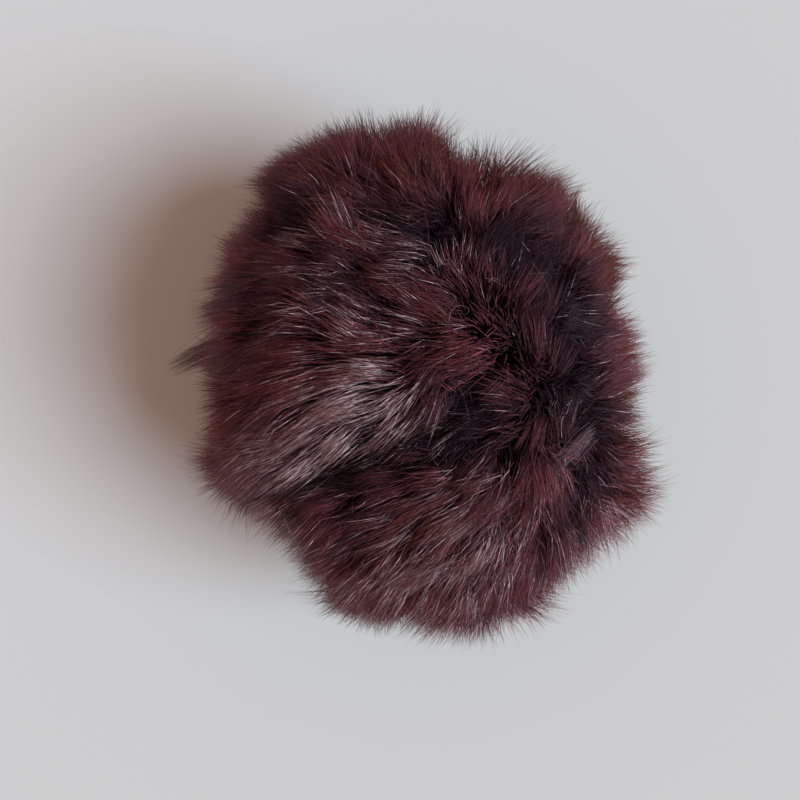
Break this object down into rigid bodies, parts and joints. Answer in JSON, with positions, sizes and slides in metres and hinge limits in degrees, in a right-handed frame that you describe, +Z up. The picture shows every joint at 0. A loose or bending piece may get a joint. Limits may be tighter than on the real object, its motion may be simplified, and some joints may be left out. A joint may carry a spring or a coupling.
{
  "type": "faux fur pom pom",
  "caption": "Round long-pile fur pom pom lying on a small flat spot, with its pile combed away from a whorl high on one side.",
  "frame": {"origin": "on the surface that the pom pom rests on, under the middle of the box around its fur", "axes": "+Z up, +X to the right and +Y to the far side as the pom pom is seen from above; the whorl of the fur lies high on the +X side"},
  "size_m": [0.1036, 0.111, 0.0892],
  "materials": {
    "fur": "long soft pile, dark red-brown, with a silky sheen"
  },
  "bodies": {
    "root": {"fur_ball": "fur"}
  },
  "joints": []
}
